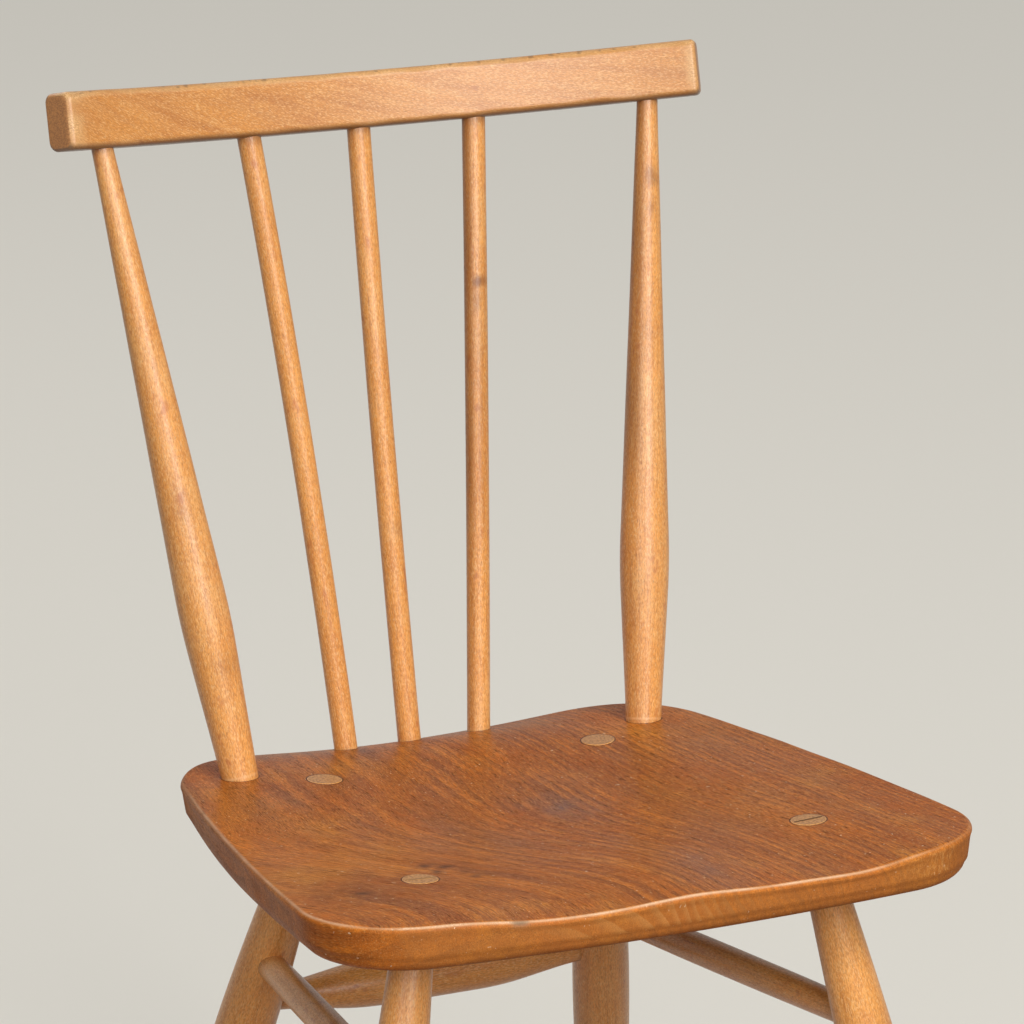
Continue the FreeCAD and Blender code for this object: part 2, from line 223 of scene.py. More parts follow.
# Turned beech under a satin lacquer: a warm honey ground, close dark and pale dashes along the
# grain, slow streaks and a few stains. The dashes are 0.6 mm wide and 2 mm long, a little
# coarser than the real 0.3 mm ones, so that they show.
turnedLook = {
    "base": "#EFA653",
    "noises": {
        "streak": ((6, 6, 120), 3, 0.38, 0.70), "line": ((1.4, 1.4, 30), 2, 0.46, 0.72),
        "dash": ((0.6, 0.6, 2.3), 2, 0.40, 0.66), "glint": ((0.65, 0.65, 2), 2, 0.48, 0.70),
        "fleck": ((0.75, 0.75, 3.6), 2, 0.62, 0.74), "cloud": ((26, 26, 45), 3, 0.46, 0.70),
        "blotch": ((9, 9, 13), 3, 0.48, 0.74), "stain": ((8, 8, 14), 2, 0.62, 0.75),
        "fine": ((1.4, 1.4, 1.4), 2, 0.42, 0.60),
    },
    "layers": [
        ("#D4883A", 0.55, "streak"), ("#D98A44", 0.45, "blotch"), ("#F6C27E", 0.30, "cloud"),
        ("#B46C2A", 0.40, "line"), ("#AA5E22", 0.46, "dash"), ("#FDD89C", 0.42, "glint"),
        # The shade layer paints shade down each rod's left side, and also colours the rods'
        # knots.
        ("#8A4E20", 0.55, "fleck"), ("#AE582A", 0.50, "stain"), ("#6E3812", 0.80, "shade"),
        ("#F6CC96", 0.70, "wear"), ("#5A3016", 0.75, "dirt"), ("#CC9254", 0.95, "cut"),
        ("#8E5C30", 0.60, "cut fine"),
    ],
    "gloss": {"dash": 0.10, "blotch": 0.06, "fleck": 0.1, "cut": 0.25}, "glossBase": 0.42,
    "relief": {"fleck": -0.03, "dash": -0.018, "glint": 0.012, "streak": 0.03},
    "specular": 0.5, "coat": 0.45, "coatRough": 0.26,
}

# Steam-bent beech, sanded flat and worn by hands: the same dashes, with broad darker figures
# that cross the rail on a slant, pale scratches, and bare pale arrises.
bentLook = {
    "base": "#D28A35",
    "noises": {
        "streak": ((9, 5, 70), 3, 0.40, 0.70), "line": ((1.3, 1.3, 20), 2, 0.46, 0.72),
        "dash": ((0.6, 0.65, 2), 2, 0.40, 0.66), "glint": ((0.7, 0.6, 1.8), 2, 0.48, 0.70),
        "fleck": ((0.7, 0.7, 3), 2, 0.64, 0.76), "figure": ((20, 8.5, 60), 2, 0.44, 0.66),
        "cloud": ((30, 26, 60), 3, 0.42, 0.70), "stain": ((10, 9, 14), 2, 0.68, 0.80),
        "fine": ((0.9, 0.8, 1.3), 2, 0.40, 0.62), "scratch": ((0.9, 0.8, 3.4), 1, 0.73, 0.79),
    },
    "layers": [
        ("#B8702A", 0.50, "cloud"), ("#A8621F", 0.34, "figure"), ("#E2A258", 0.40, "streak"),
        ("#AC6824", 0.30, "line"), ("#9A5620", 0.42, "dash"), ("#F8CC8C", 0.44, "glint"),
        ("#7E4A1C", 0.45, "fleck"), ("#984A20", 0.45, "stain"), ("#F4D4A2", 0.60, "scratch"),
        # The dirt layer paints shade along the rail's underside, and dark spots along its top.
        ("#F0C488", 0.75, "wear"), ("#B47838", 0.75, "wear fine"), ("#3A1E0C", 0.85, "dirt"),
        ("#B47A42", 0.92, "cut"), ("#7C4D28", 0.55, "cut fine"),
    ],
    "gloss": {"dash": 0.10, "fleck": 0.1, "cloud": 0.05, "wear": 0.12}, "glossBase": 0.43,
    "relief": {"fleck": -0.03, "dash": -0.015, "glint": 0.01, "streak": 0.03},
    "specular": 0.5, "coat": 0.75, "coatRough": 0.42,
}


# Waxed elm board: red-brown, with growth rings 5.2 mm apart about a heart that lies low on the
# left, so they show as wide figures there, as close lines on the right, and as slanting
# strokes across the front edge. Dark pores lie in the early part of each ring.
elmLook = {
    "base": "#DF7F22",
    "heart": (-200.0, 0.0, -150.0), "ringWidth": 5.2, "ringReach": 290.0, "narrowing": 1.1,
    "wander": 20.0, "wanderSize": (55.0, 240.0, 55.0),
    "ringRise": (0.25, 0.9), "ringFall": (1.0, 0.92),
    "noises": {
        "streak": ((1.6, 110, 1.6), 2, 0.44, 0.70), "broad": ((11, 190, 11), 3, 0.40, 0.66),
        "pore": ((0.7, 9, 0.7), 2, 0.52, 0.68), "dash": ((0.6, 4, 0.6), 2, 0.40, 0.66),
        "glint": ((0.6, 3.4, 0.6), 2, 0.50, 0.72), "stroke": ((1, 4, 3), 2, 0.44, 0.66),
        "cloud": ((60, 90, 40), 3, 0.42, 0.66), "fade": ((24, 90, 24), 2, 0.36, 0.58),
        "mottle": ((7, 11, 7), 3, 0.42, 0.70), "golden": ((50, 70, 50), 2, 0.50, 0.72),
        "fine": ((0.5, 1.5, 0.5), 2, 0.35, 0.65), "speck": ((1.6, 2, 1.6), 0, 0.81, 0.86),
    },
    "layers": [
        ("#7C3D0C", 0.72, "ring fade"), ("#A75414", 0.22, "ring"), ("#E6932F", 0.70, "golden"),
        ("#934911", 0.56, "broad"), ("#86410F", 0.58, "streak"), ("#C1611D", 0.55, "cloud"),
        ("#984D19", 0.50, "mottle"), ("#E39436", 0.72, "gold"), ("#683A22", 0.58, "smudge"),
        # Bloom lays greyish patches on the top: partly wax bloom, partly a painted sheen.
        ("#6A5C5A", 0.60, "bloom"), ("#4D2206", 0.72, "pore ring"), ("#67330C", 0.56, "pore"),
        ("#7E4214", 0.48, "dash"), ("#E3A460", 0.46, "glint"), ("#F0D8B4", 0.70, "speck"),
        ("#3A2014", 0.95, "spot"), ("#A66C38", 0.56, "side"), ("#E4A860", 0.24, "strokes ring"),
        # Edge and wear paint the arris paler: a painted highlight, with real wear at the front
        # and left.
        ("#EEB468", 0.45, "scuff stroke"), ("#D88838", 0.55, "edge"), ("#F8D4AE", 0.90, "wear"),
        ("#C07838", 0.50, "wear fine"), ("#2A1408", 0.85, "joint"), ("#3A1E10", 0.80, "dirt"),
        ("#8A7058", 0.85, "bare"),
    ],
    "gloss": {"pore": 0.14, "cloud": 0.08, "bloom": -0.06, "side": 0.30}, "glossBase": 0.33,
    "relief": {"pore": -0.04, "ring": -0.015, "dash": -0.01},
    "specular": 0.12, "coat": 0.0, "coatRough": 0.3,
}


def growthRings(tree, place, look):
    # How far a point is from the tree's heart, counted in rings that get narrower outward.
    # Each ring runs from pale early wood to dark late wood.
    vector, number = "VectorMath", "Math"
    power, wander = 1.0 + look["narrowing"], look["wander"] / 1000.0
    drift = addRow(tree, place, (
        ("Mapping", {"Scale": [1000.0 / mm for mm in look["wanderSize"]]}, 0),
        ("TexNoise", {"Scale": 1.0, "Detail": 2.0}, "Color"),
        (vector, {"operation": "SUBTRACT", 1: (0.5, 0.5, 0.5)}, 0)))
    drifted = addNode(tree, vector, {"operation": "MULTIPLY_ADD", 1: [wander] * 3},
                      {0: drift, 2: place})
    ring = addRow(tree, drifted, (
        (vector, {"operation": "SUBTRACT", 1: [mm / 1000.0 for mm in look["heart"]]}, 0),
        (vector, {"operation": "MULTIPLY", 1: (1.0, 0.0, 1.0)}, 0),
        (vector, {"operation": "LENGTH"}, "Value"),
        (number, {"operation": "MULTIPLY", 1: 1000.0 / look["ringReach"]}, 0),
        (number, {"operation": "POWER", 1: power}, 0),
        (number, {"operation": "MULTIPLY",
                  1: look["ringReach"] / look["ringWidth"] / power}, 0),
        (number, {"operation": "FRACT"}, 0)))
    rise, fall = [addNode(tree, "MapRange", {"interpolation_type": "SMOOTHSTEP",
                                             "From Min": low, "From Max": high}, {0: ring})
                  for low, high in (look["ringRise"], look["ringFall"])]
    return addNode(tree, number, {"operation": "MULTIPLY"}, {0: rise, 1: fall})


def nearJoints(tree, joints):
    # One close to the axis of each piece that stands in the seat, and nothing beyond the
    # given radius and softness. The chair is alike on both sides, so x loses its sign.
    vector = "VectorMath"
    place = addNode(tree, "TexCoord").outputs["Object"]
    split = addNode(tree, "SeparateXYZ", {}, {0: place}).outputs
    plain = addNode(tree, "Math", {"operation": "ABSOLUTE"}, {0: split[0]})
    folded = addNode(tree, "CombineXYZ", {}, {0: plain, 1: split[1], 2: split[2]})
    total = None
    for point, axis, radius, soft in joints:
        start = toRoom(point)
        ends = {"From Min": (radius + soft) / 1000.0, "From Max": radius / 1000.0}
        near = addRow(tree, folded, (
            (vector, {"operation": "SUBTRACT", 1: start}, 0),
            (vector, {"operation": "CROSS_PRODUCT", 1: unit(toRoom(point + axis) - start)}, 0),
            (vector, {"operation": "LENGTH"}, "Value"),
            ("MapRange", ends, 0)))
        total = addNode(tree, "Math", {"operation": "MAXIMUM", 1: 0.0}, {0: near, 1: total})
    return total


# Bare hardwood end grain, sawn and dull: brown, dark where it is cut, with paler flecks
# 1.4 mm across.
wedgeLook = dict(turnedLook, base="#B4844E", coat=0.0, glossBase=0.55,
                 layers=[("#4A2E18", 0.80, "cut"), ("#8A6238", 0.30, "fine")])
beechTurned = woodMaterial("beechTurnedSatin", turnedLook)
beechBent = woodMaterial("beechBentWorn", bentLook)
wedgeEndGrain = woodMaterial("wedgeEndGrain", wedgeLook)


# Seat

seatSizes = {
    "depth": 351.0, "frontHalf": 184.0, "rearHalf": 143.5,
    "frontBow": 14.5, "rearBow": 13.5, "sideBow": 8.5,
    "frontCorner": 53.0, "rearCorner": 50.0,
    "thickness": 24.0, "lean": 0.15, "sideLean": 0.08, "topRound": 3.0, "bottomRound": 8.0,
    "dishDepth": 8.5, "dishMargin": 27.0, "dishFromFront": 200.0, "dishHalfLength": 150.0,
    "thighDepth": 4.2, "thighMargin": 34.0, "thighLength": 170.0,
    "ridgeHeight": 2.4, "ridgeHalfWidth": 34.0,
    "rearFall": 11.5, "rearFallMargin": 3.5, "rearFallLength": 79.0,
    # The scooping was done by hand: the right thigh is deeper, the left one shallower. Each
    # scoop is its place across the seat and its depth.
    "scoops": ((100.0, 2.0), (-117.0, -1.6)), "scoopReach": 28.0, "scoopLength": 110.0,
    "chipAt": -92.0, "chipHalf": 4.5, "chipDepth": 0.7,
    "arrisWobble": 0.12, "topWaviness": 0.12,
}
frontLine = -seatSizes["depth"] / 2.0
rearLine = seatSizes["depth"] / 2.0
frontEdge = frontLine - seatSizes["frontBow"]
rearEdge = rearLine + seatSizes["rearBow"]


def runAlong(x, y):
    # How far along a line of points each of them lies.
    return np.append(0.0, np.cumsum(np.hypot(np.diff(x), np.diff(y))))


def bell(distance, reach):
    # One at the middle, fading softly to both sides.
    return np.exp(-(distance / reach) ** 2)


def dome(distance, reach, power=2):
    # One at the middle, falling to nothing at the reach and beyond.
    return np.maximum(0.0, 1.0 - (np.abs(distance) / reach) ** power)


def hollowDepth(x, y):
    # A dish, two thigh hollows that run out through the front edge with a low ridge between
    # them, and a fall towards the middle of the rear edge.
    s = seatSizes
    ahead = y - frontEdge
    share = (np.clip(y, frontLine, rearLine) - frontLine) / s["depth"]
    wide = s["frontHalf"] + (s["rearHalf"] - s["frontHalf"]) * share
    depth = s["dishDepth"] * dome(x, wide - s["dishMargin"]) ** 2
    depth = depth * dome(ahead - s["dishFromFront"], s["dishHalfLength"]) ** 2
    thighs = s["thighDepth"] * dome(x, s["frontHalf"] - s["thighMargin"], 4) ** 2
    thighs = thighs - s["ridgeHeight"] * bell(x, s["ridgeHalfWidth"])
    depth = depth + thighs * (1.0 - smoothStep(ahead / s["thighLength"]))
    scoops = sum(deep * bell(x - at, s["scoopReach"]) for at, deep in s["scoops"])
    depth = depth + scoops * (1.0 - smoothStep(ahead / s["scoopLength"]))
    behind = np.maximum(0.0, 1.0 - (rearEdge - y) / s["rearFallLength"])
    return depth + s["rearFall"] * dome(x, s["rearHalf"] - s["rearFallMargin"]) * behind ** 2


def sideCircle(start, middle, end):
    # Centre and radius of the circle through three points of the plan.
    (ax, ay), (bx, by), (cx, cy) = start, middle, end
    twice = 2.0 * (ax * (by - cy) + bx * (cy - ay) + cx * (ay - by))
    a, b, c = ax * ax + ay * ay, bx * bx + by * by, cx * cx + cy * cy
    x = (a * (by - cy) + b * (cy - ay) + c * (ay - by)) / twice
    y = (a * (cx - bx) + b * (ax - cx) + c * (bx - ax)) / twice
    return x, y, np.hypot(ax - x, ay - y)


def planCircles():
    # The circles of the front and rear edges and of the two sides. Each passes through two
    # corners of the plan and a middle pushed out by its bow.
    s = seatSizes
    front, rear = np.array([s["frontHalf"], frontLine]), np.array([s["rearHalf"], rearLine])
    along = unit(rear - front)
    middle = (front + rear) / 2.0 + np.array([along[1], -along[0]]) * s["sideBow"]
    right = sideCircle(front, middle, rear)
    left = (-right[0], right[1], right[2])
    ahead, behind = [sideCircle((-corner[0], corner[1]), (0.0, edge), corner)
                     for corner, edge in ((front, frontEdge), (rear, rearEdge))]
    return ahead, behind, left, right


def planDistance(x, y):
    # How far a point lies outside the seat's rim, less than nothing inside: the overlap of
    # four discs whose corners are rounded.
    ahead, behind, left, right = [np.hypot(x - c[0], y - c[1]) - c[2] for c in planCircles()]
    front, rear = seatSizes["frontCorner"], seatSizes["rearCorner"]
    corner = front + (rear - front) * smoothStep((y - frontLine) / seatSizes["depth"])
    a = np.where(y < 0, ahead, behind) + corner
    b = np.where(x < 0, left, right) + corner
    outside = np.hypot(np.maximum(a, 0.0), np.maximum(b, 0.0))
    return np.minimum(np.maximum(a, b), 0.0) + outside - corner


def rimPoints(angles, inset):
    # Where rays from the seat's centre meet the outline drawn in by the inset, by halving.
    near, far = np.zeros_like(angles), np.full_like(angles, 300.0)
    for _ in range(40):
        middle = (near + far) / 2.0
        out = planDistance(middle * np.cos(angles), middle * np.sin(angles)) > -inset
        near, far = np.where(out, near, middle), np.where(out, middle, far)
    return middle * np.cos(angles), middle * np.sin(angles)


# The grain runs from back to front and sweeps to the right in the front left part, round a
# branch that left the trunk there. Blots are given by place, half sizes and strength in mm.
seatFigure = {
    "sweep": 125.0, "sweepAt": -60.0, "sweepSoft": 60.0, "from": 20.0, "over": 190.0,
    "fan": 0.0006,
    "gold": ((-158, -68, 22, 20, 1.0), (-120, -50, 30, 26, 0.5), (-60, 118, 26, 18, 0.5),
             (30, 150, 60, 14, 0.3), (95, -60, 26, 60, 0.35), (-130, 20, 22, 60, 0.45),
             (128, 95, 30, 50, 0.5)),
    "smudge": ((-148, -112, 36, 24, 0.95), (-76, 86, 14, 26, 0.7), (-95, 100, 30, 10, 0.3),
               (-120, 120, 26, 16, 0.35), (-48, 10, 18, 80, 0.5), (60, -95, 30, 22, 0.3)),
    # Greyish patches on the top: partly wax bloom, partly a painted sheen.
    "bloom": ((18, 8, 15, 28, 1.0), (38, 52, 18, 24, 0.4), (26, -146, 20, 32, 0.65),
              (100, 40, 36, 60, 0.25)),
    "spot": ((-97, -77, 4, 4, 1.0), (-87, -82, 5, 3, 0.9), (-82, -94, 3, 4, 0.8),
             (-146, -112, 6, 3, 0.8), (-80, -104, 3, 3, 0.8), (-95, -90, 3, 4, 0.7)),
}


def grainFlow(points):
    # From the board to the tree's own frame, where the grain is straight.
    f = seatFigure
    x, y, z = np.moveaxis(points, -1, 0)
    late = smoothStep((f["from"] - y) / f["over"])
    straight = x.copy()
    for _ in range(40):
        sweep = f["sweep"] / (1.0 + np.exp((straight - f["sweepAt"]) / f["sweepSoft"]))
        straight = x * (1.0 + f["fan"] * y) - sweep * late
    return np.stack([straight, y, z], -1)


def blotField(points, blots):
    # At each point the strongest of some bell-shaped blots, made a little uneven.
    total = np.zeros(points.shape[:2])
    for x, y, wide, deep, strength in blots:
        away = ((points[..., 0] - x) / wide) ** 2 + ((points[..., 1] - y) / deep) ** 2
        total = np.maximum(total, strength * np.exp(-away))
    return total * (0.8 + 0.4 * ripple(points, 17.0, 41))


def seatRings():
    # The board's rings, from the middle of its top over the upper arris and down the side to
    # the middle of its underside. Level says where a ring lies: below -1 on the top, -1 to 1
    # on the arris, 1 to 5 down the side, then 9. Outward is the way out in plan.
    s = seatSizes
    around, topRings, roundRings, sideRings, underRings = 640, 92, 10, 7, 20
    dense = np.linspace(0.0, 2.0 * np.pi, 4001)
    run = runAlong(*rimPoints(dense, 0.0))
    angles = np.interp(np.linspace(0.0, run[-1], around, endpoint=False), run, dense)[::-1]
    rimX, rimY = rimPoints(angles, 0.0)
    lean = (s["lean"] - s["sideLean"]) * bell(rimY - 10.0, 95.0)
    lean = s["lean"] - lean * np.clip(np.abs(rimX) / 160.0, 0.0, 1.0) ** 4
    topX, topY = rimPoints(angles, s["topRound"])
    rows = []
    for part in 1.0 - (1.0 - np.linspace(0.0, 1.0, topRings)) ** 1.25:
        x, y = topX * part, topY * part
        rows.append((x, y, -hollowDepth(x, y), -20.0 * (1.0 - part) - 1.0))
    rimTop = -hollowDepth(topX, topY)
    turns = np.linspace(0.0, np.pi / 2.0, roundRings)[1:]
    for turn in turns:
        x, y = rimPoints(angles, s["topRound"] * (1.0 - np.sin(turn)))
        rows.append((x, y, rimTop - s["topRound"] * (1.0 - np.cos(turn)),
                     turn / (np.pi / 2.0) * 2.0 - 1.0))
    sideTop, sideLow = rimTop - s["topRound"], s["bottomRound"] - s["thickness"]
    for part in np.linspace(0.0, 1.0, sideRings)[1:]:
        z = sideTop + (sideLow - sideTop) * part
        rows.append((*rimPoints(angles, lean * -z), z, 1.0 + 4.0 * part))
    for turn in turns:
        x, y = rimPoints(angles, lean * s["thickness"] + s["bottomRound"] * (1.0 - np.cos(turn)))
        rows.append((x, y, sideLow - s["bottomRound"] * np.sin(turn), 9.0))
    for part in np.linspace(1.0, 0.0, underRings)[1:]:
        rows.append((x * part, y * part, -s["thickness"], 9.0))
    grid = np.array([np.broadcast_arrays(*row) for row in rows])
    outward = np.stack([rimX, rimY], -1)
    outward = outward / np.linalg.norm(outward, axis=-1, keepdims=True)
    return np.moveaxis(grid[:, :3], 1, -1), grid[:, 3], outward


def seatBoard():
    # The seat's rings, moved in at a chip and a worn arris, with its marks of use, a painted
    # highlight along the arris and a painted sheen in patches.
    s = seatSizes
    rings, level, outward = seatRings()
    x, y, z = np.moveaxis(rings, -1, 0)
    # A chip out of the front arris, and an arris that hands and trousers have worn uneven.
    front = (y < frontLine).astype(float)
    chip = np.exp(-((x - s["chipAt"]) / s["chipHalf"]) ** 4) * front * bell(level, 0.8)
    wobble = s["arrisWobble"] * ripple(rings, 55.0, 5) * bell(level, 1.6)
    push = 0.75 * (s["chipDepth"] * chip * (0.8 + 0.4 * ripple(rings, 5.0, 6)) + wobble)
    moved = rings.copy()
    moved[..., :2] -= outward * push[..., None]
    # Waviness of a board scooped and sanded by hand.
    moved[..., 2] += s["topWaviness"] * ripple(rings, 46.0, 7) * (level < 0) - push
    onSide = smoothStep((level - 0.3) / 0.8)
    # The wear mark is a pale line along the front and left arris: partly wear, partly a painted
    # highlight. The edge mark paints the whole arris paler, a painted highlight.
    wornAndHighlighted = (0.12 + 1.1 * front * (1.0 - smoothStep((x - 50.0) / 110.0))
            + 0.5 * (1.0 - front) * smoothStep((-x - 110.0) / 30.0)
            * (1.0 - smoothStep((y - 50.0) / 90.0)))
    marks = {
        "wear": wornAndHighlighted * bell(level + 0.2, 0.29) * (0.8 + 0.35 * ripple(rings, 20.0, 8)),
        "edge": 0.5 * bell(level, 0.7),
        "side": onSide * (1.0 - 0.6 * (1.0 - front) * smoothStep((-x - 130.0) / 40.0)),
        "strokes": onSide * (level < 8.0) * front * bell(x + 25.0, 52.0),
        "scuff": smoothStep((level - 0.1) / 0.5) * (level < 4.5) * front * bell(x - 165.0, 34.0),
        "bare": chip,
        "dirt": 0.5 * (level > 8.0) * (z < 0.5 - s["thickness"]),
    }
    for name in ("gold", "smudge", "bloom", "spot"):
        marks[name] = blotField(rings, seatFigure[name]) * (level < 0)
    skinPiece("seatBoard", moved, grainFlow(rings), elmSeat, "seat", marks)


# Turned pieces

def throughPoints(at, values, where):
    # A natural cubic spline through a few points.
    at, values = np.asarray(at, float), np.asarray(values, float)
    step = np.diff(at)
    size = len(at)
    system, right = np.eye(size), np.zeros(size)
    for k in range(1, size - 1):
        system[k, k - 1:k + 2] = step[k - 1], 2.0 * (step[k - 1] + step[k]), step[k]
        right[k] = 6.0 * ((values[k + 1] - values[k]) / step[k]
                          - (values[k] - values[k - 1]) / step[k - 1])
    bend = np.linalg.solve(system, right)
    k = np.clip(np.searchsorted(at, where) - 1, 0, size - 2)
    a, b, h = at[k + 1] - where, where - at[k], step[k]
    curve = (bend[k] * a ** 3 + bend[k + 1] * b ** 3) / (6.0 * h)
    curve = curve + (values[k] / h - bend[k] * h / 6.0) * a
    return curve + (values[k + 1] / h - bend[k + 1] * h / 6.0) * b


def softRuns(at, values, blend, where):
    # Straight runs between points, with each inner corner eased by a parabola.
    slope = np.diff(values) / np.diff(at)
    result = np.interp(where, at, values)
    for k in range(1, len(at) - 1):
        near = np.maximum(0.0, blend - np.abs(where - at[k]))
        result = result + (slope[k] - slope[k - 1]) * near ** 2 / (4.0 * blend)
    return result


def roundedEnds(stations, radii, roundStart, roundEnd, steps=5, caps=4):
    # Adds a quarter-round edge and a flat cap, drawn in to a pole, at each end of a profile.
    turn = np.linspace(0.0, np.pi / 2.0, steps)[1:]
    ends = []
    for k, size, way in ((0, roundStart, 1.0), (-1, roundEnd, -1.0)):
        flat = (radii[k] - size) * np.linspace(0.0, 1.0, caps)
        ends.append((np.append(np.full(caps, stations[k]),
                               stations[k] + way * size * (1.0 - np.cos(turn))),
                     np.append(flat, radii[k] - size * (1.0 - np.sin(turn)))))
    inside = (stations > stations[0] + roundStart) & (stations < stations[-1] - roundEnd)
    (startS, startR), (endS, endR) = ends
    return (np.concatenate([startS, stations[inside], endS[::-1]]),
            np.concatenate([startR, radii[inside], endR[::-1]]))


def fullTurn(count):
    # Angles evenly round a circle.
    return np.linspace(0.0, 2.0 * np.pi, count, endpoint=False)


def crossAxes(axis):
    # Two directions square to an axis and to each other.
    across = unit(np.cross([0.0, 1.0, 0.0], axis))
    return across, np.cross(axis, across)


turning = {"unevenness": 0.006, "waveLength": 70.0, "outOfLine": (0.02, -0.015)}


def turnedRings(start, end, stations, radii, around, seed, bow=0.0):
    # Rings of the given radii on the line from start to end, with the slight unevenness of
    # hand turning. Bow bends the line sideways by that much at its middle. Returns the rings
    # and the same points in the wood's frame, moved so that no two pieces share a pattern.
    length = np.linalg.norm(end - start)
    axis = (end - start) / length
    across, inward = crossAxes(axis)
    stations, radii = stations[:, None], radii[:, None]
    share = stations / length
    centre = start + stations * axis + 4.0 * share * (1.0 - share) * bow * across
    angles = fullTurn(around)
    spoke = np.cos(angles)[:, None] * across + np.sin(angles)[:, None] * inward
    rings = centre[:, None] + radii[..., None] * spoke
    waves = ripple(rings, turning["waveLength"], seed) * (radii > 3.0)
    uneven = 1.0 + turning["unevenness"] * waves
    rings = centre[:, None] + (radii * uneven)[..., None] * spoke
    # The blank was sawn a little out of line with the grain.
    angles = angles + 0.6 * seed
    slantX, slantY = turning["outOfLine"]
    wood = np.stack([radii * np.cos(angles) + slantX * stations,
                     radii * np.sin(angles) + slantY * stations,
                     np.repeat(stations, around, 1)], -1)
    return rings, wood + np.array([131.0, 57.0, 217.0]) * seed


legSizes = {
    "tenonRadius": 9.2, "shoulderRadius": 10.4, "shoulderLength": 3.0,
    "upperAt": 115.0, "upperRadius": 14.7, "bellyAt": 170.0, "bellyRadius": 16.2,
    "lowerAt": 300.0, "lowerRadius": 13.6, "footRadius": 10.5, "footRound": 1.5,
    "proud": 0.3, "tenonClear": 4.0,
    "front": {"sideInset": 76.0, "endInset": 76.0, "splay": 0.207, "rake": -0.113},
    "rear": {"sideInset": 63.0, "endInset": 76.0, "splay": 0.181, "rake": 0.436},
}


def legTop(side, row):
    # Where a leg's axis crosses the plane of the rim.
    place = legSizes[row]
    y = frontLine + place["endInset"] if row == "front" else rearLine - place["endInset"]
    return np.array([side * (seatSizes[row + "Half"] - place["sideInset"]), y, 0.0])


def legPoint(side, row, drop):
    # The point of a leg's axis that lies a given drop below its top.
    place = legSizes[row]
    return legTop(side, row) + drop * np.array([side * place["splay"], place["rake"], -1.0])


def footDistance(side, row):
    # How far along its axis a leg meets the floor.
    tilt = np.radians(stance["tilt"])
    top = legTop(side, row)
    axis = legPoint(side, row, 1.0) - top
    drop = (stance["height"] - top[1] * np.sin(tilt)) / (np.cos(tilt) + axis[1] * np.sin(tilt))
    return drop * np.linalg.norm(axis)


def turnedLeg(side, row, name, node, seed):
    # A straight tenon, then a spline through the leg's radii, turned about a splayed axis.
    s = legSizes
    top = legTop(side, row)
    axis = unit(legPoint(side, row, 1.0) - top)
    foot = footDistance(side, row)
    upright = -axis[2]
    under = seatSizes["thickness"] / upright
    clear = under + s["tenonClear"]
    shoulder = clear + s["shoulderLength"]
    stations = np.append(np.linspace(0.0, clear, 20), np.linspace(clear, foot, 260)[1:])
    radii = throughPoints([shoulder, s["upperAt"], s["bellyAt"], s["lowerAt"], foot],
                          [s["shoulderRadius"], s["upperRadius"], s["bellyRadius"],
                           s["lowerRadius"], s["footRadius"]], np.maximum(stations, shoulder))
    radii = np.where(stations < clear, s["tenonRadius"], radii)
    caps = 8
    stations, radii = roundedEnds(stations, radii, 0.5, s["footRound"], 5, caps)
    rings, wood = turnedRings(top, top + axis, stations, radii, 80, seed)
    # The tenon's end is cut to the seat's sculpted top, and the foot to the floor.
    stations = stations[:, None]
    near = np.clip(1.0 - stations / 12.0, 0.0, 1.0)
    surface = s["proud"] - hollowDepth(rings[..., 0], rings[..., 1])
    off = surface - (rings[..., 2] + stations * upright)
    rings = rings - (near * off / upright)[..., None] * axis
    down = toRoom(top + axis) * 1000.0 - toRoom(top) * 1000.0
    sole = np.clip(1.0 - (foot - stations) / 14.0, 0.0, 1.0)
    off = (stations - foot) * down[2] - toRoom(rings)[..., 2] * 1000.0
    rings = rings + (sole * off / down[2])[..., None] * axis
    cut = np.zeros_like(stations)
    cut[:caps] = cut[-caps:] = 1.0
    grime = np.exp(-np.maximum(stations - under, 0.0) / 5.0) * (stations > under - 2.0)
    skinPiece(name, rings, wood, beechTurned, node,
              {"cut": cut, "dirt": 0.8 * grime})


wedgeSizes = {"half": 8.3, "topThickness": 1.5, "tipThickness": 0.6, "length": 14.0,
              "proud": 0.45, "dark": {-1: 0.3, 1: 1.0}}


def tenonWedge(side, name, node):
    # A thin taper across the tenon, in line with the seat's front edge: flattened rings whose
    # ends are squared by a power of the cosine.
    s = wedgeSizes
    top = legTop(side, "front")
    axis = unit(legPoint(side, "front", 1.0) - top)
    across, inward = crossAxes(axis)
    over = hollowDepth(top[0], top[1]) - s["proud"]
    # Rows of the flat top, the taper and the flat tip, and how far each is drawn in.
    share = np.concatenate([np.zeros(4), np.linspace(0.0, 1.0, 16), np.ones(4)])[:, None]
    draw = np.concatenate([np.linspace(0.0, 0.94, 4), np.ones(16), np.linspace(0.94, 0.0, 4)])
    angles = fullTurn(48)
    square = np.sign(np.cos(angles)) * np.abs(np.cos(angles)) ** 0.35
    thin = np.sign(np.sin(angles)) * np.abs(np.sin(angles)) ** 0.6
    half = (s["topThickness"] + (s["tipThickness"] - s["topThickness"]) * share) / 2.0
    a = s["half"] * draw[:, None] * square
    b = half * draw[:, None] * thin
    centre = top + (over + s["length"] * share) * axis / -axis[2]
    rings = centre[:, None] + a[..., None] * across + b[..., None] * inward
    # The top follows the seat's own surface across the tenon.
    surface = s["proud"] - hollowDepth(rings[..., 0], rings[..., 1])
    rings[..., 2] = surface - s["length"] * share
    wood = np.stack(np.broadcast_arrays(a, b, s["length"] * share), -1) + 40.0 * side
    skinPiece(name, rings, wood, wedgeEndGrain, node,
              {"cut": (share < 0.1) * s["dark"][side]})


